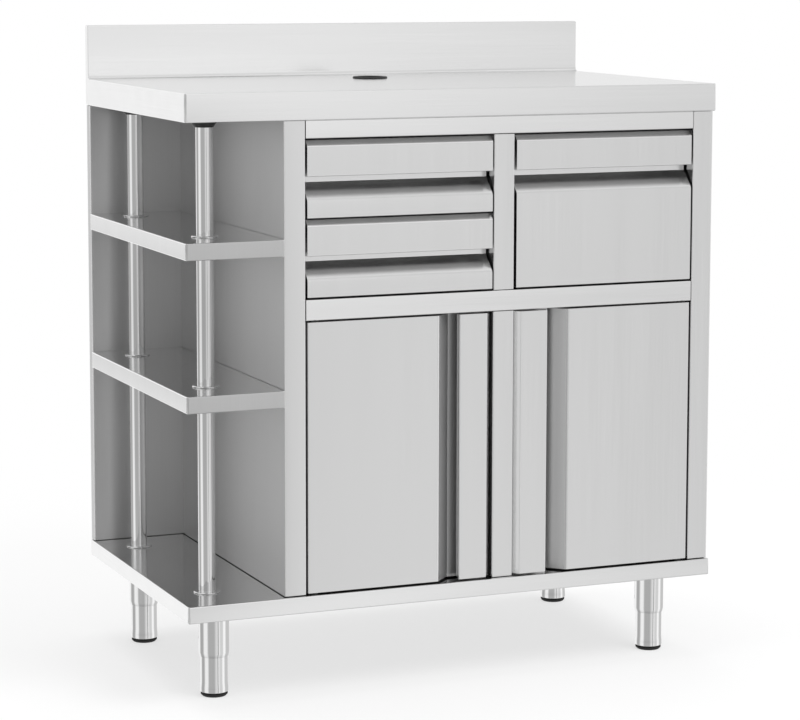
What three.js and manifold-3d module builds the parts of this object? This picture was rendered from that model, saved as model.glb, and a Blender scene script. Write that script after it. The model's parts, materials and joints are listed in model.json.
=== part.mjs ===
// Waiter service station in stainless sheet: worktop with upstand, open side bay, drawers and cupboard.
// Millimetres, +Z up, front towards -Y, origin on the floor under the middle of the worktop.

import * as THREE from 'three';
import { mergeVertices } from 'three/addons/utils/BufferGeometryUtils.js';
import ManifoldModule from 'manifold-3d';

// Plan
const WIDTH = 1020;
const DEPTH = 600;
const BAY_WIDTH = 180;
const SIDE_SETBACK = 2;
const FRONT_SETBACK = 8;
const BACK_PANEL_THICKNESS = 20;
const STILE_WIDTH = 40;
const CENTRE_POST_WIDTH = 40;
const CENTRE_POST_SETBACK = 2;
const RAIL_DEPTH = 34;

// Heights, stacked from the floor up
const LEG_HEIGHT = 155;
const BASE_THICKNESS = 30;
const CUPBOARD_HEIGHT = 486;
const MIDDLE_RAIL_HEIGHT = 37;
const DRAWER_OPENING_HEIGHT = 280;
const TOP_RAIL_HEIGHT = 32;
const APRON_HEIGHT = 50;
const UPSTAND_HEIGHT = 100;
const UPSTAND_THICKNESS = 20;

// Sheet and its folds
const SHEET = 1.25;
const WORKTOP_SHEET = 1.5;
const HEM = 20;
const BEND_RADIUS = 2;
const PLAN_CORNER_RADIUS = 4;
const COVE_RADIUS = 8;

// Gap left where two pieces seat on each other, and running gaps
const SEAT_GAP = 0.2;
const SLIDE_GAP = 0.3;
const FRONT_GAP = 3;
const FRONT_SIDE_GAP = 3.5;

// Grip profile of doors and drawer fronts, from the grip's outer edge inwards
const CHAMFER_RISE = 10;
const CHAMFER_DEPTH = 11;
const GRIP_FACE = 53;
const GROOVE_DEPTH = 29;
const GROOVE_FLOOR = 11.5;
const GROOVE_INCLINE = 29;
const INCLINE_BEND_RADIUS = 8;
const LIP_RETURN = 12;
const LINER_SPACE = 3.75;

// Doors
const LINER_FLANGE = 10;
const HINGE_PIN_DIAMETER = 8;
const HINGE_SHOULDER_DIAMETER = 16;
const HINGE_PIN_REACH = 12;
const HINGE_INSET = 14;
const HINGE_SETBACK = 8;

// Drawers
const DRAWER_BOX_LENGTH = 500;
const DRAWER_BOX_RISE = 14;
const DRAWER_BOX_DROP = 30;
const DRAWER_PLATE_MARGIN = 2;
const RUNNER_SPACE = 12.5;
const RUNNER_FLANGE = 9.5;
const RUNNER_HEIGHT = 36;
const RUNNER_RISE = 34;
const RUNNER_LENGTH = 480;
const RUNNER_START = 50;

// Side bay
const LOWER_SHELF_RISE = 367;
const UPPER_SHELF_RISE = 263.5;
const BAY_SHELF_THICKNESS = 30;
const POST_DIAMETER = 30;
const POST_WALL = 1.5;
const POST_INSET_SIDE = 68;
const POST_INSET_FRONT = 102;
const POST_INSET_BACK = 93;
const COLLAR_DIAMETER = 48;
const COLLAR_HEIGHT = 2.5;
const BUSH_DIAMETER = 44;
const BUSH_WALL = 1.25;
const BUSH_DROP = 14;
const BUSH_CONE = 8;
const BUSH_SOCKET = 40;

// Cable grommet in the worktop
const GROMMET_BORE = 52;
const GROMMET_WALL = 3.5;
const GROMMET_FLANGE_DIAMETER = 66;
const GROMMET_FLANGE_HEIGHT = 3;
const GROMMET_SLEEVE = 14;
const GROMMET_INSET_BACK = 172;

// Legs
const LEG_INSET_SIDE = 77;
const LEG_INSET_FRONT = 93;
const FOOT_DIAMETER = 49;
const FOOT_FLARE_DIAMETER = 50.5;
const FOOT_FLARE_HEIGHT = 10;
const FOOT_WALL = 1.5;
const FOOT_EDGE = 2.5;
const FOOT_ENGAGEMENT = 38;
const PAD_HEIGHT = 6;
const PAD_EDGE = 3;
const SLEEVE_LENGTH = 83;
const SLEEVE_WALL = 2.5;
const SLEEVE_TAPER = 8;
const SLEEVE_TIP_WALL = 1;
const SLEEVE_FLANGE_DIAMETER = 84;
const SLEEVE_FLANGE_THICKNESS = 3;

// Resolution of rounded shapes
const BEND_STEPS = 2;
const ROUND_SIDES = 32;
const OVERCUT = 2;

// Levels and planes that follow from the sizes above
const LEFT = -WIDTH / 2;
const RIGHT = WIDTH / 2;
const FRONT = -DEPTH / 2;
const BACK = DEPTH / 2;
const BASE_TOP = LEG_HEIGHT + BASE_THICKNESS;
const MIDDLE_RAIL_BOTTOM = BASE_TOP + CUPBOARD_HEIGHT;
const MIDDLE_RAIL_TOP = MIDDLE_RAIL_BOTTOM + MIDDLE_RAIL_HEIGHT;
const TOP_RAIL_BOTTOM = MIDDLE_RAIL_TOP + DRAWER_OPENING_HEIGHT;
const CARCASS_TOP = TOP_RAIL_BOTTOM + TOP_RAIL_HEIGHT;
const WORKTOP_TOP = CARCASS_TOP + APRON_HEIGHT;
const LOWER_SHELF_TOP = BASE_TOP + LOWER_SHELF_RISE;
const UPPER_SHELF_TOP = LOWER_SHELF_TOP + UPPER_SHELF_RISE;
const FRONT_PLANE = FRONT + FRONT_SETBACK;
const BACK_PANEL_FRONT = BACK - BACK_PANEL_THICKNESS;
const LEFT_SIDE = LEFT + BAY_WIDTH;
const RIGHT_SIDE = RIGHT - SIDE_SETBACK;
const OPENING_LEFT = LEFT_SIDE + STILE_WIDTH;
const OPENING_RIGHT = RIGHT_SIDE - STILE_WIDTH;
const OPENING_WIDTH = (OPENING_RIGHT - OPENING_LEFT - CENTRE_POST_WIDTH) / 2;
const CENTRE_POST_LEFT = OPENING_LEFT + OPENING_WIDTH;
const CENTRE_POST_RIGHT = CENTRE_POST_LEFT + CENTRE_POST_WIDTH;
const FRONT_WIDTH = OPENING_WIDTH - 2 * FRONT_SIDE_GAP;
const FRONT_THICKNESS = GROOVE_DEPTH + SHEET + LINER_SPACE;
const FOOT_VISIBLE = LEG_HEIGHT - SLEEVE_LENGTH;
const POST_X = LEFT + POST_INSET_SIDE;
const POST_TOP = CARCASS_TOP - BUSH_DROP + BUSH_SOCKET;

const wasm = await ManifoldModule();
wasm.setup();

// Outlines: a corner is [x, y] or [x, y, radius], listed counter-clockwise.

function roundedOutline(corners, steps = BEND_STEPS) {
  const outline = [];
  corners.forEach(([x, y, radius = 0], i) => {
    const here = new THREE.Vector2(x, y);
    if (radius <= 0) {
      outline.push(here);
      return;
    }
    const [beforeX, beforeY] = corners.at(i - 1);
    const [afterX, afterY] = corners[(i + 1) % corners.length];
    const toBefore = new THREE.Vector2(beforeX - x, beforeY - y).normalize();
    const toAfter = new THREE.Vector2(afterX - x, afterY - y).normalize();
    const halfAngle = Math.acos(toBefore.dot(toAfter)) / 2;
    const reach = radius / Math.tan(halfAngle);
    const inward = toBefore.clone().add(toAfter).setLength(radius / Math.sin(halfAngle));
    const centre = here.clone().add(inward);
    const first = here.clone().addScaledVector(toBefore, reach).sub(centre);
    const last = here.clone().addScaledVector(toAfter, reach).sub(centre);
    const sweep = Math.atan2(first.cross(last), first.dot(last));
    for (let step = 0; step <= steps; step += 1) {
      const turned = first.clone().rotateAround(new THREE.Vector2(), (sweep * step) / steps);
      outline.push(turned.add(centre));
    }
  });
  return outline;
}

// The same outline moved inwards by a sheet's thickness, with its bends kept concentric.
function insetCorners(corners, distance) {
  return corners.map(([x, y, radius = 0], i) => {
    const [beforeX, beforeY] = corners.at(i - 1);
    const [afterX, afterY] = corners[(i + 1) % corners.length];
    const arriving = new THREE.Vector2(x - beforeX, y - beforeY).normalize();
    const leaving = new THREE.Vector2(afterX - x, afterY - y).normalize();
    const normalSum = new THREE.Vector2(-arriving.y - leaving.y, arriving.x + leaving.x);
    const shift = distance / (1 + arriving.dot(leaving));
    const isConvex = arriving.cross(leaving) > 0;
    const insetRadius = isConvex ? Math.max(radius - distance, 0) : radius + distance;
    return [x + normalSum.x * shift, y + normalSum.y * shift, radius > 0 ? insetRadius : 0];
  });
}

function rectangle(x0, x1, y0, y1, radius = 0) {
  return [[x0, y0, radius], [x1, y0, radius], [x1, y1, radius], [x0, y1, radius]];
}

function shapeOf(corners, holeCorners = null) {
  const shape = new THREE.Shape(roundedOutline(corners));
  if (holeCorners) {
    shape.holes.push(new THREE.Path(roundedOutline(holeCorners)));
  }
  return shape;
}

// Prisms along each axis, from outlines drawn in (x, y), (y, z) and (x, z).

function extrude(shape, length) {
  return new THREE.ExtrudeGeometry(shape, { depth: length, bevelEnabled: false });
}

function prismZ(shape, z0, z1) {
  return extrude(shape, z1 - z0).translate(0, 0, z0);
}

function prismX(shape, x0, x1) {
  const drawnAsYZ = new THREE.Matrix4().makeBasis(
    new THREE.Vector3(0, 1, 0),
    new THREE.Vector3(0, 0, 1),
    new THREE.Vector3(1, 0, 0),
  );
  return extrude(shape, x1 - x0).applyMatrix4(drawnAsYZ).translate(x0, 0, 0);
}

function prismY(shape, y0, y1) {
  const drawnAsXZ = new THREE.Matrix4().makeBasis(
    new THREE.Vector3(1, 0, 0),
    new THREE.Vector3(0, 0, 1),
    new THREE.Vector3(0, -1, 0),
  );
  return extrude(shape, y1 - y0).applyMatrix4(drawnAsXZ).translate(0, y1, 0);
}

function block(x0, x1, y0, y1, z0, z1) {
  return prismZ(shapeOf(rectangle(x0, x1, y0, y1)), z0, z1);
}

function disc(diameter, x, y, z0, z1) {
  const round = new THREE.CylinderGeometry(diameter / 2, diameter / 2, z1 - z0, ROUND_SIDES);
  return round.rotateX(Math.PI / 2).translate(x, y, (z0 + z1) / 2);
}

// A turned piece from its half section in (radius, height).
function turned(section) {
  const points = section.map(([radius, height]) => new THREE.Vector2(radius, height));
  return new THREE.LatheGeometry(points, ROUND_SIDES).rotateX(Math.PI / 2);
}

// Joining and cutting of closed shapes

function solidOf(geometry) {
  const bare = geometry.clone();
  bare.deleteAttribute('normal');
  bare.deleteAttribute('uv');
  const merged = mergeVertices(bare);
  const vertProperties = new Float32Array(merged.attributes.position.array);
  const triVerts = new Uint32Array(merged.index.array);
  return new wasm.Manifold(new wasm.Mesh({ numProp: 3, vertProperties, triVerts }));
}

function geometryOf(solid) {
  const mesh = solid.getMesh();
  const indexed = new THREE.BufferGeometry();
  indexed.setAttribute('position', new THREE.BufferAttribute(mesh.vertProperties, 3));
  indexed.setIndex(new THREE.BufferAttribute(mesh.triVerts, 1));
  const faceted = indexed.toNonIndexed();
  faceted.computeVertexNormals();
  return faceted;
}

function cut(geometry, ...tools) {
  const solid = tools.reduce((left, tool) => left.subtract(solidOf(tool)), solidOf(geometry));
  return geometryOf(solid);
}

function join(...geometries) {
  const [first, ...others] = geometries.map(solidOf);
  return geometryOf(others.reduce((left, other) => left.add(other), first));
}

function common(a, b) {
  return geometryOf(solidOf(a).intersect(solidOf(b)));
}

// Finishes

const FINISHES = {
  satin: { color: 0xd3d5d6, roughness: 0.34, metalness: 1 },
  bright: { color: 0xbfc2c4, roughness: 0.16, metalness: 1 },
  tube: { color: 0xd8dadb, roughness: 0.2, metalness: 1 },
  inner: { color: 0xb4b7b9, roughness: 0.42, metalness: 1 },
  blackPlastic: { color: 0x161616, roughness: 0.5, metalness: 0 },
  rubber: { color: 0x1c1c1d, roughness: 0.8, metalness: 0 },
};

function piece(name, geometry, finish) {
  const mesh = new THREE.Mesh(geometry, new THREE.MeshStandardMaterial(FINISHES[finish]));
  mesh.name = name;
  return mesh;
}

// Folded sheet forms

// A shelf folded down on four sides, with a hem turned in underneath.
function foldedTray(x0, x1, y0, y1, z0, z1) {
  const plan = rectangle(x0, x1, y0, y1, PLAN_CORNER_RADIUS);
  const foldsAcross = common(
    prismX(shapeOf(rectangle(y0, y1, z0, z1, BEND_RADIUS)), x0, x1),
    prismY(shapeOf(rectangle(x0, x1, z0, z1, BEND_RADIUS)), y0, y1),
  );
  const outside = common(foldsAcross, prismZ(shapeOf(plan), z0 - OVERCUT, z1 + OVERCUT));
  const hollow = prismZ(shapeOf(insetCorners(plan, SHEET)), z0 + SHEET, z1 - SHEET);
  const mouth = prismZ(shapeOf(insetCorners(plan, HEM)), z0 - OVERCUT, z0 + SHEET + OVERCUT);
  return cut(outside, hollow, mouth);
}

// A double-skin panel or upright: a closed fold, open at its two ends.
function foldedTube(corners) {
  return shapeOf(corners, insetCorners(corners, SHEET));
}

// Worktop, base and carcass

function worktop() {
  const section = [
    [FRONT, CARCASS_TOP, BEND_RADIUS],
    [BACK, CARCASS_TOP, BEND_RADIUS],
    [BACK, WORKTOP_TOP + UPSTAND_HEIGHT, BEND_RADIUS],
    [BACK - UPSTAND_THICKNESS, WORKTOP_TOP + UPSTAND_HEIGHT, BEND_RADIUS],
    [BACK - UPSTAND_THICKNESS, WORKTOP_TOP, COVE_RADIUS],
    [FRONT, WORKTOP_TOP, BEND_RADIUS],
  ];
  const plan = rectangle(LEFT, RIGHT, FRONT, BACK, PLAN_CORNER_RADIUS);
  const lowest = CARCASS_TOP - OVERCUT;
  const highest = WORKTOP_TOP + UPSTAND_HEIGHT + OVERCUT;
  const endFolds = (top, front) => prismY(
    shapeOf(rectangle(LEFT, RIGHT, CARCASS_TOP, top, BEND_RADIUS)),
    front,
    BACK,
  );
  const ends = join(
    endFolds(WORKTOP_TOP, FRONT),
    endFolds(WORKTOP_TOP + UPSTAND_HEIGHT, BACK - UPSTAND_THICKNESS - COVE_RADIUS),
  );
  const outside = common(
    common(prismX(shapeOf(section), LEFT, RIGHT), ends),
    prismZ(shapeOf(plan), lowest, highest),
  );
  const hollow = common(
    prismX(shapeOf(insetCorners(section, WORKTOP_SHEET)), LEFT + WORKTOP_SHEET, RIGHT - WORKTOP_SHEET),
    prismZ(shapeOf(insetCorners(plan, WORKTOP_SHEET)), lowest, highest),
  );
  const mouthTop = CARCASS_TOP + WORKTOP_SHEET + OVERCUT;
  const mouth = prismZ(shapeOf(insetCorners(plan, HEM)), lowest, mouthTop);
  const cableHole = disc(
    GROMMET_BORE + 2 * (GROMMET_WALL + SEAT_GAP),
    0,
    BACK - GROMMET_INSET_BACK,
    WORKTOP_TOP - WORKTOP_SHEET - OVERCUT,
    WORKTOP_TOP + OVERCUT,
  );
  return piece('worktop', cut(outside, hollow, mouth, cableHole), 'satin');
}

function cableGrommet() {
  const bore = GROMMET_BORE / 2;
  const sleeve = bore + GROMMET_WALL;
  const flange = GROMMET_FLANGE_DIAMETER / 2;
  const flangeFoot = SEAT_GAP;
  const flangeTop = flangeFoot + GROMMET_FLANGE_HEIGHT;
  const edge = GROMMET_FLANGE_HEIGHT / 2;
  const geometry = turned([
    [bore, -GROMMET_SLEEVE],
    [sleeve, -GROMMET_SLEEVE],
    [sleeve, flangeFoot],
    [flange, flangeFoot],
    [flange, flangeTop - edge],
    [flange - edge, flangeTop],
    [bore + edge, flangeTop],
    [bore, flangeTop - edge],
    [bore, -GROMMET_SLEEVE],
  ]);
  const mesh = piece('cable_grommet', geometry, 'blackPlastic');
  mesh.position.set(0, BACK - GROMMET_INSET_BACK, WORKTOP_TOP);
  return mesh;
}

function carcass() {
  const group = new THREE.Group();
  const uprightFoot = BASE_TOP + SEAT_GAP;
  const uprightHead = CARCASS_TOP - SEAT_GAP;
  const addUpright = (name, x0, x1, y0, y1, z0, z1, finish) => {
    const fold = foldedTube(rectangle(x0, x1, y0, y1, BEND_RADIUS));
    group.add(piece(name, prismZ(fold, z0, z1), finish));
  };
  const addRail = (name, z0, z1) => {
    const fold = foldedTube(rectangle(FRONT_PLANE, FRONT_PLANE + RAIL_DEPTH, z0, z1, BEND_RADIUS));
    group.add(piece(name, prismX(fold, OPENING_LEFT + SEAT_GAP, OPENING_RIGHT - SEAT_GAP), 'satin'));
  };
  const base = foldedTray(LEFT, RIGHT, FRONT, BACK, LEG_HEIGHT, BASE_TOP);
  group.add(piece('base_shelf', base, 'satin'));
  const panelLeft = LEFT + SIDE_SETBACK;
  addUpright(
    'back_panel', panelLeft, RIGHT_SIDE, BACK_PANEL_FRONT, BACK, uprightFoot, uprightHead, 'bright',
  );
  const panelBack = BACK_PANEL_FRONT - SEAT_GAP;
  addUpright(
    'left_side_panel', LEFT_SIDE, OPENING_LEFT, FRONT_PLANE, panelBack, uprightFoot, uprightHead, 'satin',
  );
  addUpright(
    'right_side_panel', OPENING_RIGHT, RIGHT_SIDE, FRONT_PLANE, panelBack, uprightFoot, uprightHead, 'satin',
  );
  addRail('middle_rail', MIDDLE_RAIL_BOTTOM, MIDDLE_RAIL_TOP);
  addRail('top_rail', TOP_RAIL_BOTTOM, uprightHead);
  const postFront = FRONT_PLANE + CENTRE_POST_SETBACK;
  addUpright(
    'drawer_divider', CENTRE_POST_LEFT, CENTRE_POST_RIGHT, postFront, panelBack,
    MIDDLE_RAIL_TOP + SEAT_GAP, TOP_RAIL_BOTTOM - SEAT_GAP, 'satin',
  );
  addUpright(
    'lower_centre_post', CENTRE_POST_LEFT, CENTRE_POST_RIGHT, postFront, FRONT_PLANE + RAIL_DEPTH,
    uprightFoot, MIDDLE_RAIL_BOTTOM - SEAT_GAP, 'satin',
  );
  return group;
}

// Side bay

function bayShelf(name, top) {
  const shelfRight = LEFT_SIDE - SEAT_GAP;
  const shelfBack = BACK_PANEL_FRONT - SEAT_GAP;
  const bottom = top - BAY_SHELF_THICKNESS;
  const tray = foldedTray(LEFT, shelfRight, FRONT, shelfBack, bottom, top);
  const holeDiameter = POST_DIAMETER + 2 * SLIDE_GAP;
  const holes = [FRONT + POST_INSET_FRONT, BACK - POST_INSET_BACK].map(
    (y) => disc(holeDiameter, POST_X, y, bottom - OVERCUT, top + OVERCUT),
  );
  return piece(name, cut(tray, ...holes), 'bright');
}

function bayPost(name, y) {
  const group = new THREE.Group();
  group.position.set(POST_X, y, 0);
  const outer = POST_DIAMETER / 2;
  const inner = outer - POST_WALL;
  const foot = BASE_TOP + SEAT_GAP;
  const tube = turned([[inner, foot], [outer, foot], [outer, POST_TOP], [inner, POST_TOP], [inner, foot]]);
  group.add(piece(`${name}_post`, tube, 'tube'));

  const ringBore = outer + SLIDE_GAP;
  const ringOuter = COLLAR_DIAMETER / 2;
  const edge = COLLAR_HEIGHT / 2;
  const ring = turned([
    [ringBore, 0],
    [ringOuter, 0],
    [ringOuter, edge],
    [ringOuter - edge, COLLAR_HEIGHT],
    [ringBore, COLLAR_HEIGHT],
    [ringBore, 0],
  ]);
  const seats = { base: BASE_TOP, lower_shelf: LOWER_SHELF_TOP, upper_shelf: UPPER_SHELF_TOP };
  Object.entries(seats).forEach(([seat, level]) => {
    const collar = piece(`${name}_collar_${seat}`, ring, 'tube');
    collar.position.z = level + SEAT_GAP;
    group.add(collar);
  });

  const socket = outer + SLIDE_GAP;
  const tip = CARCASS_TOP - BUSH_DROP;
  const head = WORKTOP_TOP - WORKTOP_SHEET - SEAT_GAP;
  const bush = turned([
    [0, POST_TOP + SEAT_GAP],
    [socket, POST_TOP + SEAT_GAP],
    [socket, tip],
    [socket + BUSH_WALL, tip],
    [BUSH_DIAMETER / 2, tip + BUSH_CONE],
    [BUSH_DIAMETER / 2, head],
    [0, head],
  ]);
  group.add(piece(`${name}_post_bush`, bush, 'blackPlastic'));
  return group;
}

function sideBay() {
  const group = new THREE.Group();
  group.add(bayShelf('lower_shelf', LOWER_SHELF_TOP));
  group.add(bayShelf('upper_shelf', UPPER_SHELF_TOP));
  group.add(bayPost('front', FRONT + POST_INSET_FRONT));
  group.add(bayPost('rear', BACK - POST_INSET_BACK));
  return group;
}

// Legs: a sleeve under the base, a foot tube that telescopes in it, and a rubber pad

function leg(corner, x, y) {
  const group = new THREE.Group();
  group.position.set(x, y, 0);
  const foot = FOOT_DIAMETER / 2;
  const flare = FOOT_FLARE_DIAMETER / 2;
  const bore = foot + SLIDE_GAP;
  const sleeve = bore + SLEEVE_WALL;
  const flange = SLEEVE_FLANGE_DIAMETER / 2;
  const sleeveTop = BASE_TOP - SHEET - SEAT_GAP;
  const flangeFoot = sleeveTop - SLEEVE_FLANGE_THICKNESS;
  const sleeveSection = turned([
    [0, flangeFoot],
    [bore, flangeFoot],
    [bore, FOOT_VISIBLE],
    [bore + SLEEVE_TIP_WALL, FOOT_VISIBLE],
    [sleeve, FOOT_VISIBLE + SLEEVE_TAPER],
    [sleeve, flangeFoot],
    [flange, flangeFoot],
    [flange, sleeveTop],
    [0, sleeveTop],
  ]);
  group.add(piece(`${corner}_leg_sleeve`, sleeveSection, 'tube'));

  const tubeTop = FOOT_VISIBLE + FOOT_ENGAGEMENT;
  const floor = PAD_HEIGHT + FOOT_WALL;
  const tube = turned([
    [0, PAD_HEIGHT],
    [flare - FOOT_EDGE, PAD_HEIGHT],
    [flare, PAD_HEIGHT + FOOT_EDGE],
    [flare, PAD_HEIGHT + FOOT_FLARE_HEIGHT],
    [foot, PAD_HEIGHT + 2 * FOOT_FLARE_HEIGHT],
    [foot, tubeTop],
    [foot - FOOT_WALL, tubeTop],
    [foot - FOOT_WALL, floor],
    [0, floor],
  ]);
  group.add(piece(`${corner}_foot_tube`, tube, 'tube'));

  const padTop = PAD_HEIGHT - SEAT_GAP;
  const padRadius = flare - FOOT_EDGE / 2;
  const pad = turned([
    [0, 0],
    [padRadius - PAD_EDGE, 0],
    [padRadius, PAD_EDGE],
    [padRadius, padTop],
    [0, padTop],
  ]);
  group.add(piece(`${corner}_foot_pad`, pad, 'rubber'));
  return group;
}

function legs() {
  const group = new THREE.Group();
  const sides = { left: LEFT + LEG_INSET_SIDE, right: RIGHT - LEG_INSET_SIDE };
  const rows = { front: FRONT + LEG_INSET_FRONT, rear: BACK - LEG_INSET_FRONT };
  Object.entries(rows).forEach(([row, y]) => {
    Object.entries(sides).forEach(([side, x]) => group.add(leg(`${row}_${side}`, x, y)));
  });
  return group;
}

// Doors and drawer fronts

// Section of a front: u runs from the grip's outer edge across the front, v from its face into the cabinet.

const GRIP_END = CHAMFER_RISE + GRIP_FACE;
const GROOVE_END = GRIP_END + GROOVE_FLOOR;
const PANEL_START = GROOVE_END + GROOVE_INCLINE;

function gripCorners(span) {
  return [
    [0, FRONT_THICKNESS],
    [0, CHAMFER_DEPTH, BEND_RADIUS],
    [CHAMFER_RISE, 0, BEND_RADIUS],
    [GRIP_END, 0, BEND_RADIUS],
    [GRIP_END, GROOVE_DEPTH],
    [GROOVE_END, GROOVE_DEPTH, BEND_RADIUS],
    [PANEL_START, 0, INCLINE_BEND_RADIUS],
    [span, 0, BEND_RADIUS],
    [span, FRONT_THICKNESS],
  ];
}

// The hollow behind the groove's wall, the incline and the panel, open at the back.
function hollowCorners(span) {
  const inside = insetCorners([
    [0, FRONT_THICKNESS],
    [0, GROOVE_DEPTH],
    [GROOVE_END, GROOVE_DEPTH, BEND_RADIUS],
    [PANEL_START, 0, INCLINE_BEND_RADIUS],
    [span, 0, BEND_RADIUS],
    [span, FRONT_THICKNESS],
  ], SHEET);
  inside[0][1] = FRONT_THICKNESS + OVERCUT;
  inside.at(-1)[1] = FRONT_THICKNESS + OVERCUT;
  return inside;
}

// The finger pocket behind the grip's lip, whose lower edge is folded back by LIP_RETURN.
function pocketCorners() {
  const lip = insetCorners([
    [0, GROOVE_DEPTH + SHEET],
    [0, CHAMFER_DEPTH, BEND_RADIUS],
    [CHAMFER_RISE, 0, BEND_RADIUS],
    [GRIP_END, 0, BEND_RADIUS],
    [GRIP_END, GROOVE_DEPTH + SHEET],
  ], SHEET);
  lip.pop();
  return [
    ...lip,
    [GRIP_END - SHEET, LIP_RETURN],
    [GRIP_END + OVERCUT, LIP_RETURN],
    [GRIP_END + OVERCUT, GROOVE_DEPTH],
  ];
}

// A front skin: folded lip, finger pocket, incline and panel. Its length runs along +Z.
function gripSkin(span, length) {
  const pocketEnds = block(
    SHEET, GRIP_END + OVERCUT, LIP_RETURN, GROOVE_DEPTH, -OVERCUT, length + OVERCUT,
  );
  return cut(
    prismZ(shapeOf(gripCorners(span)), 0, length),
    prismZ(shapeOf(hollowCorners(span)), SHEET, length - SHEET),
    prismZ(shapeOf(pocketCorners()), SHEET, length - SHEET),
    pocketEnds,
  );
}

// A hollow door, drawn with its grip edge at x = 0 and its hinge edge at x = FRONT_WIDTH.
function door(side, length) {
  const group = new THREE.Group();
  const pinHole = disc(
    HINGE_PIN_DIAMETER + 2 * SLIDE_GAP,
    FRONT_WIDTH - HINGE_INSET,
    HINGE_SETBACK,
    -OVERCUT,
    length + OVERCUT,
  );
  group.add(piece(`${side}_door_front`, cut(gripSkin(FRONT_WIDTH, length), pinHole), 'satin'));

  const rim = SHEET + SLIDE_GAP;
  const gripFlange = GROOVE_DEPTH + SHEET + SLIDE_GAP;
  const hingeFlange = FRONT_THICKNESS - LINER_FLANGE;
  const plateFront = FRONT_THICKNESS - SHEET;
  const liner = shapeOf([
    [rim, gripFlange],
    [rim + SHEET, gripFlange],
    [rim + SHEET, plateFront],
    [FRONT_WIDTH - rim - SHEET, plateFront],
    [FRONT_WIDTH - rim - SHEET, hingeFlange],
    [FRONT_WIDTH - rim, hingeFlange],
    [FRONT_WIDTH - rim, FRONT_THICKNESS],
    [rim, FRONT_THICKNESS],
  ]);
  group.add(piece(`${side}_door_liner`, prismZ(liner, rim, length - rim), 'inner'));
  return group;
}

// A shouldered hinge pin, standing on its shoulder.
function hingePin() {
  const shoulder = HINGE_SHOULDER_DIAMETER / 2;
  const shank = HINGE_PIN_DIAMETER / 2;
  const shoulderTop = FRONT_GAP - 2 * SEAT_GAP;
  const tip = FRONT_GAP + HINGE_PIN_REACH;
  return turned([
    [0, 0],
    [shoulder, 0],
    [shoulder, shoulderTop],
    [shank, shoulderTop],
    [shank, tip],
    [0, tip],
  ]);
}

function doors() {
  const group = new THREE.Group();
  const bottom = BASE_TOP + FRONT_GAP;
  const top = MIDDLE_RAIL_BOTTOM - FRONT_GAP;
  const rightDoor = door('right', top - bottom);
  rightDoor.position.set(CENTRE_POST_RIGHT + FRONT_SIDE_GAP, FRONT_PLANE, bottom);
  const leftDoor = door('left', top - bottom);
  leftDoor.rotation.y = Math.PI;
  leftDoor.position.set(CENTRE_POST_LEFT - FRONT_SIDE_GAP, FRONT_PLANE, top);
  group.add(leftDoor, rightDoor);

  const hingeLines = {
    left: OPENING_LEFT + FRONT_SIDE_GAP + HINGE_INSET,
    right: OPENING_RIGHT - FRONT_SIDE_GAP - HINGE_INSET,
  };
  Object.entries(hingeLines).forEach(([side, x]) => {
    const lower = piece(`${side}_door_lower_pin`, hingePin(), 'tube');
    lower.position.set(x, FRONT_PLANE + HINGE_SETBACK, BASE_TOP + SEAT_GAP);
    const upper = piece(`${side}_door_upper_pin`, hingePin(), 'tube');
    upper.rotation.x = Math.PI;
    upper.position.set(x, FRONT_PLANE + HINGE_SETBACK, MIDDLE_RAIL_BOTTOM - SEAT_GAP);
    group.add(lower, upper);
  });
  return group;
}

// Drawers, drawn about the middle of their opening with the front's lower edge at z = 0

function drawerBox(frontHeight) {
  const half = OPENING_WIDTH / 2 - RUNNER_SPACE;
  const front = FRONT_THICKNESS + SEAT_GAP;
  const back = front + DRAWER_BOX_LENGTH;
  const top = frontHeight - DRAWER_BOX_DROP;
  const tray = cut(
    block(-half, half, front, back, DRAWER_BOX_RISE, top),
    block(
      -half + SHEET, half - SHEET, front + SHEET, back - SHEET,
      DRAWER_BOX_RISE + SHEET, top + OVERCUT,
    ),
  );
  const plateHalf = FRONT_WIDTH / 2 - DRAWER_PLATE_MARGIN;
  const plateTop = frontHeight - DRAWER_PLATE_MARGIN;
  const plate = block(-plateHalf, plateHalf, front, front + SHEET, DRAWER_PLATE_MARGIN, plateTop);
  return join(tray, plate);
}

// A channel-shaped runner member along Y: its web at webX, its two flanges reaching to tipX.
function runnerChannel(webX, tipX, z0, z1) {
  const webInner = webX + Math.sign(tipX - webX) * SHEET;
  const section = shapeOf([
    [webX, z0],
    [tipX, z0],
    [tipX, z0 + SHEET],
    [webInner, z0 + SHEET],
    [webInner, z1 - SHEET],
    [tipX, z1 - SHEET],
    [tipX, z1],
    [webX, z1],
  ]);
  return prismY(section, RUNNER_START, RUNNER_START + RUNNER_LENGTH);
}

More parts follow.
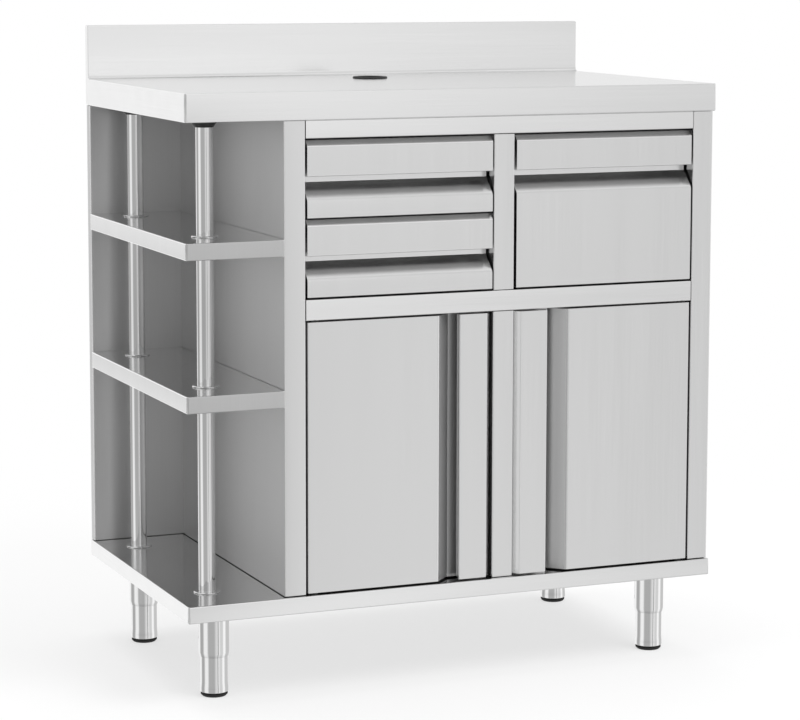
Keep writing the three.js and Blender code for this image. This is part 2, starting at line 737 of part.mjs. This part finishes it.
function drawer(name, centreX, bottom, frontHeight) {
  const group = new THREE.Group();
  group.position.set(centreX, FRONT_PLANE, bottom);
  const lying = new THREE.Matrix4().makeBasis(
    new THREE.Vector3(0, 0, -1),
    new THREE.Vector3(0, 1, 0),
    new THREE.Vector3(1, 0, 0),
  );
  const skin = gripSkin(frontHeight, FRONT_WIDTH).applyMatrix4(lying);
  skin.translate(-FRONT_WIDTH / 2, 0, frontHeight);
  group.add(piece(`${name}_drawer_front`, skin, 'satin'));
  group.add(piece(`${name}_drawer_box`, drawerBox(frontHeight), 'inner'));

  const wall = OPENING_WIDTH / 2 - SEAT_GAP;
  const boxSide = OPENING_WIDTH / 2 - RUNNER_SPACE + SEAT_GAP;
  const low = RUNNER_RISE;
  const high = RUNNER_RISE + RUNNER_HEIGHT;
  const nest = SHEET + SLIDE_GAP;
  Object.entries({ left: -1, right: 1 }).forEach(([side, sign]) => {
    const fixed = runnerChannel(sign * wall, sign * (wall - RUNNER_FLANGE), low, high);
    group.add(piece(`${name}_runner_${side}`, fixed, 'inner'));
    const moving = runnerChannel(
      sign * boxSide, sign * (boxSide + RUNNER_FLANGE), low + nest, high - nest,
    );
    group.add(piece(`${name}_slide_${side}`, moving, 'inner'));
  });
  return group;
}

function drawers() {
  const group = new THREE.Group();
  const leftCentre = OPENING_LEFT + OPENING_WIDTH / 2;
  const rightCentre = OPENING_RIGHT - OPENING_WIDTH / 2;
  const lowest = MIDDLE_RAIL_TOP + FRONT_GAP;
  const shallow = (DRAWER_OPENING_HEIGHT - 3 * FRONT_GAP) / 2;
  const deep = DRAWER_OPENING_HEIGHT - 2 * FRONT_GAP;
  group.add(drawer('lower_left', leftCentre, lowest, shallow));
  group.add(drawer('upper_left', leftCentre, lowest + shallow + FRONT_GAP, shallow));
  group.add(drawer('right', rightCentre, lowest, deep));
  return group;
}

const station = new THREE.Group();
station.add(worktop(), cableGrommet(), carcass(), sideBay(), legs(), doors(), drawers());

export default station;
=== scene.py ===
"""Looks of a stainless waiter station: eased sheet folds, brushed finishes, studio light and camera."""

import json
import math

import bmesh
import bpy
from mathutils import Matrix, Vector


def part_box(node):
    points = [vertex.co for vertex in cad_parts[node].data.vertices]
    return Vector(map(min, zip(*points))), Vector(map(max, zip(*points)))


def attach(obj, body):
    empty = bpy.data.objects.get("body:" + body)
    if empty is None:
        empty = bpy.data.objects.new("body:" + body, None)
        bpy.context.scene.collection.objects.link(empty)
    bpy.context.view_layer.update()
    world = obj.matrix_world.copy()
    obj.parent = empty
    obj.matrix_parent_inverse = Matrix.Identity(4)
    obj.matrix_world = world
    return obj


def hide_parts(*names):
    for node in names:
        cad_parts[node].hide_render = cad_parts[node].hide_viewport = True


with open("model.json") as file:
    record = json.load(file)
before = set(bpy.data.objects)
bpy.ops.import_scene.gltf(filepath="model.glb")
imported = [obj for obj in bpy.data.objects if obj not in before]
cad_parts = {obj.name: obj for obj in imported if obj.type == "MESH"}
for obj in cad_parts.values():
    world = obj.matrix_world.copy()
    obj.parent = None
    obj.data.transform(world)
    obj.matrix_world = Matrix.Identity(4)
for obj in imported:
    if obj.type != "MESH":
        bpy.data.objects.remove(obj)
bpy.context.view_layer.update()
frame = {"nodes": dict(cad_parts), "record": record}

BODY_OF = {
    node: body
    for body, nodes in frame["record"]["behaviour"]["bodies"].items()
    for node in nodes
}
SLOT_OF = {entry["node"]: entry["material_slot"] for entry in frame["record"]["subparts"]}

MM = 0.001


# Materials

NOISE_LOW = 0.3
NOISE_HIGH = 0.7


def grey(level):
    return (level, level, level)


class Nodes:
    """A new material, with short calls that add shader nodes and link them."""

    def __init__(self, name):
        self.material = bpy.data.materials.new(name)
        self.material.use_nodes = True
        self.tree = self.material.node_tree
        self.shader = self.tree.nodes["Principled BSDF"]

    def add(self, kind, **values):
        node = self.tree.nodes.new(kind)
        for key, value in values.items():
            setattr(node, key, value)
        return node

    def feed(self, source, target):
        self.tree.links.new(source, target)

    def math(self, operation, first, second):
        node = self.add("ShaderNodeMath", operation=operation)
        for socket, value in zip(node.inputs, (first, second)):
            if hasattr(value, "links"):
                self.feed(value, socket)
            else:
                socket.default_value = value
        return node.outputs[0]

    def noise(self, place, stretch, scale, detail, roughness=0.6):
        mapping = self.add("ShaderNodeMapping")
        mapping.inputs["Scale"].default_value = stretch
        self.feed(place, mapping.inputs["Vector"])
        node = self.add("ShaderNodeTexNoise")
        node.inputs["Scale"].default_value = scale
        node.inputs["Detail"].default_value = detail
        node.inputs["Roughness"].default_value = roughness
        self.feed(mapping.outputs[0], node.inputs["Vector"])
        return node.outputs["Fac"]

    def around(self, value, middle, spread):
        """A number that follows a noise value, up to a share of the middle number to both sides."""
        node = self.add("ShaderNodeMapRange")
        node.inputs["From Min"].default_value = NOISE_LOW
        node.inputs["From Max"].default_value = NOISE_HIGH
        node.inputs["To Min"].default_value = middle * (1.0 - spread)
        node.inputs["To Max"].default_value = middle * (1.0 + spread)
        self.feed(value, node.inputs["Value"])
        return node.outputs[0]

    def ramp(self, value, dark, light):
        node = self.add("ShaderNodeValToRGB")
        ends = node.color_ramp.elements
        for end, position, level in zip(ends, (NOISE_LOW, NOISE_HIGH), (dark, light)):
            end.position = position
            end.color = (*grey(level), 1.0)
        self.feed(value, node.inputs["Fac"])
        return node.outputs["Color"]

    def bump(self, height, strength, distance):
        node = self.add("ShaderNodeBump")
        node.inputs["Strength"].default_value = strength
        node.inputs["Distance"].default_value = distance
        self.feed(height, node.inputs["Height"])
        self.feed(node.outputs["Normal"], self.shader.inputs["Normal"])


BRUSH_SCALE = 3.0
GRAIN_ALONG = 1.6
GRAIN_ACROSS = 150.0
GRAIN_DETAIL = 5.0
GRAIN_DEPTH = 0.15 * MM
BAND_ALONG = 0.5
BAND_ACROSS = 7.0
BAND_DETAIL = 3.0
BAND_ROUGHNESS = 0.5
LEVEL_POWER = 4.0
STEEL_ROUGHNESS_SPREAD = 0.12


def steel(name, shade, roughness, upright=False, spread=0.035, grain=0.014, metallic=1.0):
    """Brushed stainless sheet.

    On standing faces the grain runs level, or up and down where upright is set.
    On level faces it runs along X.
    """
    made = Nodes(name)
    place = made.add("ShaderNodeTexCoord").outputs["Object"]
    level_grain = (GRAIN_ALONG, GRAIN_ALONG, GRAIN_ACROSS)
    upright_grain = (GRAIN_ACROSS, GRAIN_ACROSS, GRAIN_ALONG)
    top_grain = (GRAIN_ALONG, GRAIN_ACROSS, GRAIN_ALONG)
    on_sides = made.noise(place, upright_grain if upright else level_grain, BRUSH_SCALE, GRAIN_DETAIL)
    on_level = made.noise(place, top_grain, BRUSH_SCALE, GRAIN_DETAIL)
    split = made.add("ShaderNodeSeparateXYZ")
    made.feed(made.add("ShaderNodeNewGeometry").outputs["Normal"], split.inputs[0])
    level = made.math("POWER", made.math("ABSOLUTE", split.outputs["Z"], 0.0), LEVEL_POWER)
    choose = made.add("ShaderNodeMix", data_type="FLOAT")
    made.feed(level, choose.inputs["Factor"])
    made.feed(on_sides, choose.inputs["A"])
    made.feed(on_level, choose.inputs["B"])
    streak = choose.outputs[0]
    upright_band = (BAND_ACROSS, BAND_ACROSS, BAND_ALONG)
    level_band = (BAND_ALONG, BAND_ACROSS, BAND_ACROSS)
    band_stretch = upright_band if upright else level_band
    bands = made.noise(place, band_stretch, BRUSH_SCALE, BAND_DETAIL, BAND_ROUGHNESS)
    wear = made.math("MULTIPLY", made.math("ADD", streak, bands), 0.5)
    light = min(1.0, shade * (1.0 + spread))
    made.feed(made.ramp(wear, shade * (1.0 - spread), light), made.shader.inputs["Base Color"])
    made.feed(made.around(wear, roughness, STEEL_ROUGHNESS_SPREAD), made.shader.inputs["Roughness"])
    made.shader.inputs["Metallic"].default_value = metallic
    made.bump(streak, grain, GRAIN_DEPTH)
    return made.material


EVEN = (1.0, 1.0, 1.0)
SKIN_DETAIL = 3.0
SKIN_STRENGTH = 0.25
CLOUD_SCALE = 40.0
CLOUD_DETAIL = 2.0
MOULDED_ROUGHNESS_SPREAD = 0.1


def moulded(name, dark, light, roughness, skin_scale, skin_depth):
    """Black plastic or rubber with a fine moulded skin."""
    made = Nodes(name)
    place = made.add("ShaderNodeTexCoord").outputs["Object"]
    skin = made.noise(place, EVEN, skin_scale, SKIN_DETAIL)
    cloud = made.noise(place, EVEN, CLOUD_SCALE, CLOUD_DETAIL)
    made.feed(made.ramp(cloud, dark, light), made.shader.inputs["Base Color"])
    made.feed(made.around(cloud, roughness, MOULDED_ROUGHNESS_SPREAD), made.shader.inputs["Roughness"])
    made.bump(skin, SKIN_STRENGTH, skin_depth)
    return made.material


SATIN = steel("satin_front", 0.84, 0.24, upright=True)
RAIL = steel("satin_rail", 0.90, 0.16)
SIDE = steel("dull_side", 0.64, 0.48, upright=True)
BACK = steel("dull_back", 0.68, 0.38, upright=True)
# Painted shade: a darker steel for the faces turned down under the rails and drawer fronts, so that the
# chamfers below them reflect shade
UNDERSIDE_SHADE = steel("underside_painted_shade", 0.50, 0.45)
# Painted shade: a darker, partly diffuse copy of the front steel for the recessed groove faces of the
# doors
GROOVE_SHADE = steel("groove_painted_shade", 0.62, 0.36, upright=True, metallic=0.75)
BRIGHT = steel("bright_sheet", 0.76, 0.14, upright=True)
TUBE = steel("polished_tube", 0.88, 0.07, upright=True)
INNER = steel("mill_sheet", 0.66, 0.36, spread=0.05, grain=0.03)
# Painted highlight: a brighter steel on narrow bend and eased edge faces, so that the folds show as
# light lines; the lower roughness stands for the smoother bend
FOLD_HIGHLIGHT = steel("fold_painted_highlight", 0.96, 0.18, upright=True)
PIN = steel("dark_pin", 0.07, 0.45)
PLASTIC = moulded("black_plastic", 0.010, 0.016, 0.42, 900.0, 0.05 * MM)
RUBBER = moulded("black_rubber", 0.012, 0.020, 0.75, 600.0, 0.08 * MM)


# Which finish goes where

BY_SLOT = {
    "satin_steel": SATIN,
    "bright_steel": BRIGHT,
    "tube_steel": TUBE,
    "inner_steel": INNER,
    "black_plastic": PLASTIC,
    "rubber": RUBBER,
}
BY_NODE = {
    "worktop": RAIL,
    "base_shelf": RAIL,
    "top_rail": RAIL,
    "middle_rail": RAIL,
    "back_panel": BACK,
}
LEFTWARD = Vector((-1.0, 0.0, 0.0))
RIGHTWARD = Vector((1.0, 0.0, 0.0))
FRONTWARD = Vector((0.0, -1.0, 0.0))
UPWARD = Vector((0.0, 0.0, 1.0))
DOWNWARD = Vector((0.0, 0.0, -1.0))
BY_FACING = {
    "left_side_panel": (LEFTWARD, SIDE),
    "right_side_panel": (RIGHTWARD, SIDE),
    "base_shelf": (UPWARD, BRIGHT),
    "lower_shelf": (FRONTWARD, BACK),
    "upper_shelf": (FRONTWARD, BACK),
    # The downward faces of the rails and drawer fronts take the darker underside steel, which is painted
    # shade
    "top_rail": (DOWNWARD, UNDERSIDE_SHADE),
    "middle_rail": (DOWNWARD, UNDERSIDE_SHADE),
    "upper_left_drawer_front": (DOWNWARD, UNDERSIDE_SHADE),
    "lower_left_drawer_front": (DOWNWARD, UNDERSIDE_SHADE),
    "right_drawer_front": (DOWNWARD, UNDERSIDE_SHADE),
}
FOLDED_SLOTS = ("satin_steel", "bright_steel")
DOOR_FRONTS = ("left_door_front", "right_door_front")
MAIN, FOLDS, APART = range(3)
FACING_LIMIT = 0.9
FOLD_WIDTH = 1.8 * MM
GROOVE_START = 7.0 * MM


def finish_of(node):
    if "_pin" in node:
        return PIN
    return BY_NODE.get(node, BY_SLOT[SLOT_OF[node]])


def finishes_of(node):
    """A node's finishes, in the order MAIN, FOLDS, APART."""
    finishes = [finish_of(node)]
    if SLOT_OF[node] in FOLDED_SLOTS:
        finishes.append(FOLD_HIGHLIGHT)
    if node in BY_FACING:
        finishes.append(BY_FACING[node][1])
    if node in DOOR_FRONTS:
        finishes.append(GROOVE_SHADE)
    return finishes


def mark_finishes(form, node):
    """Gives each face the place of its finish in finishes_of: narrow faces are folds, whose brighter
    finish is a painted highlight.
    """
    if SLOT_OF[node] not in FOLDED_SLOTS:
        for face in form.faces:
            face.material_index = MAIN
        return
    for face in form.faces:
        if face.calc_area() < FOLD_WIDTH * max(e.calc_length() for e in face.edges):
            face.material_index = FOLDS
    # Faces turned one way take their own finish; on the rails and drawer fronts this puts painted shade
    # on the downward faces
    if node in BY_FACING:
        for face in form.faces:
            if face.normal.dot(BY_FACING[node][0]) > FACING_LIMIT:
                face.material_index = APART
    # Faces set back in the door grooves take the darker groove steel: painted shade in the recess
    if node in DOOR_FRONTS:
        front = min(v.co.y for v in form.verts)
        for face in form.faces:
            if face.calc_center_median().y > front + GROOVE_START and face.material_index != FOLDS:
                face.material_index = APART


# Dressed copies of the CAD nodes, with eased edges and smooth rounds

SHEET_SHARP = math.radians(46.5)
ROUND_SHARP = math.radians(38.0)
FLAT_ANGLE = math.radians(0.4)
WELD = 0.01 * MM
SHEET_EDGE = 1.0 * MM
ROUND_EDGE = 0.4 * MM
FINE_EDGE = 0.4 * MM
SHEET_STEPS = 3
FINE_STEPS = 1
LEAST_FACE_WIDTH = 2.5
END_DEPTH = 0.1 * MM
X_AXIS = 0
Z_AXIS = 2

# The axis along which a sheet butts, and how far its low and high end are drawn back, in millimetres
SEAMS = {
    "left_side_panel": (Z_AXIS, 1.2, 0.8),
    "right_side_panel": (Z_AXIS, 1.0, 0.8),
    "drawer_divider": (Z_AXIS, 0.8, 0.8),
    "lower_centre_post": (Z_AXIS, 0.8, 0.8),
    "back_panel": (Z_AXIS, 0.8, 0.6),
    "top_rail": (X_AXIS, 0.8, 0.8),
    "middle_rail": (X_AXIS, 0.8, 0.8),
    "lower_shelf": (X_AXIS, 0.0, 1.2),
    "upper_shelf": (X_AXIS, 0.0, 1.2),
}


def open_seams(form, node):
    """Draws the ends of a butted sheet back a little, so that its seams show as fine dark lines."""
    axis, low_gap, high_gap = SEAMS.get(node, (X_AXIS, 0.0, 0.0))
    low = min(v.co[axis] for v in form.verts)
    high = max(v.co[axis] for v in form.verts)
    for v in form.verts:
        if v.co[axis] < low + END_DEPTH:
            v.co[axis] += low_gap * MM
        elif v.co[axis] > high - END_DEPTH:
            v.co[axis] -= high_gap * MM


def is_fold(edge, sharp_angle, least_width):
    """A sharp outside edge between two faces that are wide enough to be eased."""
    if not edge.is_manifold or not edge.is_convex or edge.calc_face_angle(0.0) <= sharp_angle:
        return False
    return all(face.calc_area() > least_width * edge.calc_length() for face in edge.link_faces)


def ease_edges(form, edge, sharp_angle):
    """Rounds the folds between wide faces, then takes a fine edge off those between narrower ones."""
    # On folded sheets the rounds of the wider folds take the FOLDS slot, the brighter steel painted as a
    # highlight line
    for offset, steps, finish in ((edge, SHEET_STEPS, FOLDS), (FINE_EDGE, FINE_STEPS, MAIN)):
        folds = [e for e in form.edges if is_fold(e, sharp_angle, LEAST_FACE_WIDTH * offset)]
        bmesh.ops.bevel(
            form, geom=folds, offset=offset, offset_type="OFFSET", segments=steps, profile=0.5,
            affect="EDGES", clamp_overlap=True, material=finish,
        )


def shade_smooth(form, sharp_angle):
    for face in form.faces:
        face.smooth = True
    for e in form.edges:
        e.smooth = not (e.is_manifold and e.calc_face_angle(0.0) > sharp_angle)


def dressed(node, edge, sharp_angle):
    """A copy of a node with its sharp edges eased and its rounds shaded smooth, in place of the node."""
    mesh = frame["nodes"][node].data.copy()
    mesh.materials.clear()
    form = bmesh.new()
    form.from_mesh(mesh)
    bmesh.ops.remove_doubles(form, verts=form.verts[:], dist=WELD)
    bmesh.ops.dissolve_limit(
        form, angle_limit=FLAT_ANGLE, verts=form.verts[:], edges=form.edges[:],
        use_dissolve_boundaries=False,
    )
    open_seams(form, node)
    ease_edges(form, edge, sharp_angle)
    mark_finishes(form, node)
    shade_smooth(form, sharp_angle)
    form.to_mesh(mesh)
    form.free()
    mesh.update()
    piece = bpy.data.objects.new(f"{node}_dressed", mesh)
    bpy.context.scene.collection.objects.link(piece)
    for finish in finishes_of(node):
        piece.data.materials.append(finish)
    even = piece.modifiers.new("even_faces", "WEIGHTED_NORMAL")
    even.keep_sharp = True
    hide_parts(node)
    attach(piece, BODY_OF[node])


ROUND_WORDS = ("_post", "_collar_", "_bush", "_sleeve", "_tube", "_pad", "grommet")
PLAIN_WORDS = ("_pin", "_runner_", "_slide_", "_liner")

for node, shown in frame["nodes"].items():
    if any(word in node for word in PLAIN_WORDS):
        shown.data.materials.clear()
        shown.data.materials.append(finish_of(node))
    elif any(word in node for word in ROUND_WORDS) and "centre" not in node:
        dressed(node, ROUND_EDGE, ROUND_SHARP)
    else:
        dressed(node, SHEET_EDGE, SHEET_SHARP)


# Floor

FLOOR_RADIUS = 2.6
FLOOR_SIDES = 96
FLOOR_TONE = 0.90
FADE_START = 0.8
FADE_END = 2.0
WHITE_SHARE_NEAR = 0.64
WHITE_SHARE_FAR = 1.0


def floor_material():
    """A pale floor that takes a soft shadow near the object and fades to plain white away from it."""
    made = bpy.data.materials.new("pale_floor")
    made.use_nodes = True
    tree = made.node_tree
    tree.nodes.clear()
    link = tree.links.new
    diffuse = tree.nodes.new("ShaderNodeBsdfDiffuse")
    diffuse.inputs["Color"].default_value = (*grey(FLOOR_TONE), 1.0)
    white = tree.nodes.new("ShaderNodeEmission")
    white.inputs["Strength"].default_value = 1.0
    distance = tree.nodes.new("ShaderNodeVectorMath")
    distance.operation = "LENGTH"
    link(tree.nodes.new("ShaderNodeTexCoord").outputs["Object"], distance.inputs[0])
    fade = tree.nodes.new("ShaderNodeMapRange")
    fade.interpolation_type = "SMOOTHSTEP"
    fade.inputs["From Min"].default_value = FADE_START
    fade.inputs["From Max"].default_value = FADE_END
    fade.inputs["To Min"].default_value = WHITE_SHARE_NEAR
    fade.inputs["To Max"].default_value = WHITE_SHARE_FAR
    link(distance.outputs["Value"], fade.inputs["Value"])
    mix = tree.nodes.new("ShaderNodeMixShader")
    link(fade.outputs[0], mix.inputs[0])
    link(diffuse.outputs[0], mix.inputs[1])
    link(white.outputs[0], mix.inputs[2])
    out = tree.nodes.new("ShaderNodeOutputMaterial")
    link(mix.outputs[0], out.inputs["Surface"])
    return made


def floor_disc():
    form = bmesh.new()
    bmesh.ops.create_circle(form, cap_ends=True, radius=FLOOR_RADIUS, segments=FLOOR_SIDES)
    mesh = bpy.data.meshes.new("floor")
    form.to_mesh(mesh)
    form.free()
    mesh.materials.append(floor_material())
    made = bpy.data.objects.new("floor", mesh)
    bpy.context.scene.collection.objects.link(made)
    made.visible_glossy = False
    return made


floor_disc()


# Surroundings and lamps

# Brightness of the walls by the angle from the front towards the right, in degrees
WALLS = (
    (-180, 0.95), (-150, 0.95), (-135, 0.42), (-110, 0.42), (-95, 0.92), (-72, 0.92), (-60, 0.44),
    (-15, 0.44), (-7, 0.66), (5, 0.72), (12, 0.95), (20.5, 0.91), (30, 0.69), (50, 0.66),
    (58, 0.98), (74, 0.98), (85, 0.58), (135, 0.58), (150, 0.86), (180, 0.90),
)
# Share of that brightness below the horizon, by the same angle: a strip of the floor in front is darker
FAR_FLOOR = ((-180, 1.0), (9, 1.0), (12, 0.30), (16, 0.25), (18, 1.0), (180, 1.0))
# Share of that brightness by height, from straight down to straight up
HEIGHTS = (
    (-1.0, 0.70), (-0.6, 0.78), (-0.34, 1.04), (-0.20, 1.04), (-0.135, 0.88), (-0.09, 1.0),
    (0.12, 1.0), (0.25, 0.95), (0.45, 0.95), (0.65, 1.0), (1.0, 1.0),
)
FLOOR_LINE_TOP = -0.045
FLOOR_LINE_BOTTOM = -0.065


def studio_world():
    """White to the camera. Everything else sees walls of uneven brightness over a duller floor."""
    world = bpy.data.worlds.new("studio")
    bpy.context.scene.world = world
    world.use_nodes = True
    tree = world.node_tree
    tree.nodes.clear()
    link = tree.links.new

    def ramp(value, stops):
        node = tree.nodes.new("ShaderNodeValToRGB")
        link(value, node.inputs["Fac"])
        while len(node.color_ramp.elements) < len(stops):
            node.color_ramp.elements.new(0.5)
        for element, (position, brightness) in zip(node.color_ramp.elements, stops):
            element.position = position
            element.color = (*grey(brightness), 1.0)
        return node.outputs["Color"]

    def scaled(value, factor, offset):
        node = tree.nodes.new("ShaderNodeMath")
        node.operation = "MULTIPLY_ADD"
        link(value, node.inputs[0])
        node.inputs[1].default_value = factor
        node.inputs[2].default_value = offset
        return node.outputs[0]

    def times(first, second):
        node = tree.nodes.new("ShaderNodeMath")
        node.operation = "MULTIPLY"
        link(first, node.inputs[0])
        link(second, node.inputs[1])
        return node.outputs[0]

    def background():
        node = tree.nodes.new("ShaderNodeBackground")
        node.inputs["Color"].default_value = (*grey(1.0), 1.0)
        return node

    split = tree.nodes.new("ShaderNodeSeparateXYZ")
    link(tree.nodes.new("ShaderNodeTexCoord").outputs["Generated"], split.inputs[0])
    turn = tree.nodes.new("ShaderNodeMath")
    turn.operation = "ARCTAN2"
    link(split.outputs["X"], turn.inputs[0])
    link(scaled(split.outputs["Y"], -1.0, 0.0), turn.inputs[1])
    round_trip = scaled(turn.outputs[0], 0.5 / math.pi, 0.5)

    def by_angle(stops):
        return ramp(round_trip, [(0.5 + angle / 360.0, share) for angle, share in stops])

    height = scaled(split.outputs["Z"], 0.5, 0.5)
    by_height = ramp(height, [(0.5 + 0.5 * z, share) for z, share in HEIGHTS])
    below = tree.nodes.new("ShaderNodeMapRange")
    below.inputs["From Min"].default_value = FLOOR_LINE_TOP
    below.inputs["From Max"].default_value = FLOOR_LINE_BOTTOM
    link(split.outputs["Z"], below.inputs["Value"])
    far_floor = tree.nodes.new("ShaderNodeMix")
    far_floor.inputs["A"].default_value = 1.0
    link(below.outputs[0], far_floor.inputs["Factor"])
    link(by_angle(FAR_FLOOR), far_floor.inputs["B"])
    surroundings = background()
    level = times(times(by_angle(WALLS), by_height), far_floor.outputs[0])
    link(level, surroundings.inputs["Strength"])
    choose = tree.nodes.new("ShaderNodeMixShader")
    link(tree.nodes.new("ShaderNodeLightPath").outputs["Is Camera Ray"], choose.inputs[0])
    link(surroundings.outputs[0], choose.inputs[1])
    link(background().outputs[0], choose.inputs[2])
    out = tree.nodes.new("ShaderNodeOutputWorld")
    link(choose.outputs[0], out.inputs["Surface"])


def soft_lamp(name, place, target, size, power):
    lamp = bpy.data.lights.new(name, "AREA")
    lamp.shape = "DISK"
    lamp.size = size
    lamp.energy = power
    made = bpy.data.objects.new(name, lamp)
    bpy.context.scene.collection.objects.link(made)
    made.location = place
    made.rotation_euler = (Vector(target) - Vector(place)).to_track_quat("-Z", "Y").to_euler()
    made.visible_glossy = False


studio_world()
soft_lamp("key", place=(1.8, -2.6, 3.6), target=(0.0, 0.0, 0.4), size=2.4, power=90.0)
soft_lamp("top", place=(-0.4, 0.6, 3.8), target=(0.0, 0.0, 0.5), size=3.0, power=60.0)


# Camera at the photograph's viewing angle, in metres and radians

IMAGE_WIDTH = 800.0
FOCAL_PIXELS = 2714.5
SENSOR_WIDTH = 36.0
YAW = 0.3957
PITCH = 0.1197
ROLL = 0.0017
CAMERA_X = -1.9381
CAMERA_Y = -4.6611
CAMERA_OVER_BASE = 1.1198
SHIFT_DOWN = 0.1

forward = Vector((
    math.sin(YAW) * math.cos(PITCH),
    math.cos(YAW) * math.cos(PITCH),
    -math.sin(PITCH),
))
level_right = Vector((math.cos(YAW), -math.sin(YAW), 0.0))
level_up = level_right.cross(forward)
right = math.cos(ROLL) * level_right + math.sin(ROLL) * level_up
up = math.cos(ROLL) * level_up - math.sin(ROLL) * level_right
camera_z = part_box("base_shelf")[1].z + CAMERA_OVER_BASE

camera_data = bpy.data.cameras.new("camera")
camera_data.sensor_width = SENSOR_WIDTH
camera_data.lens = FOCAL_PIXELS * SENSOR_WIDTH / IMAGE_WIDTH
camera_data.shift_y = -SHIFT_DOWN
camera = bpy.data.objects.new("camera", camera_data)
bpy.context.scene.collection.objects.link(camera)
camera.matrix_world = Matrix((
    (right.x, up.x, -forward.x, CAMERA_X),
    (right.y, up.y, -forward.y, CAMERA_Y),
    (right.z, up.z, -forward.z, camera_z),
    (0.0, 0.0, 0.0, 1.0),
))
bpy.context.scene.camera = camera
bpy.context.scene.view_settings.view_transform = "Standard"
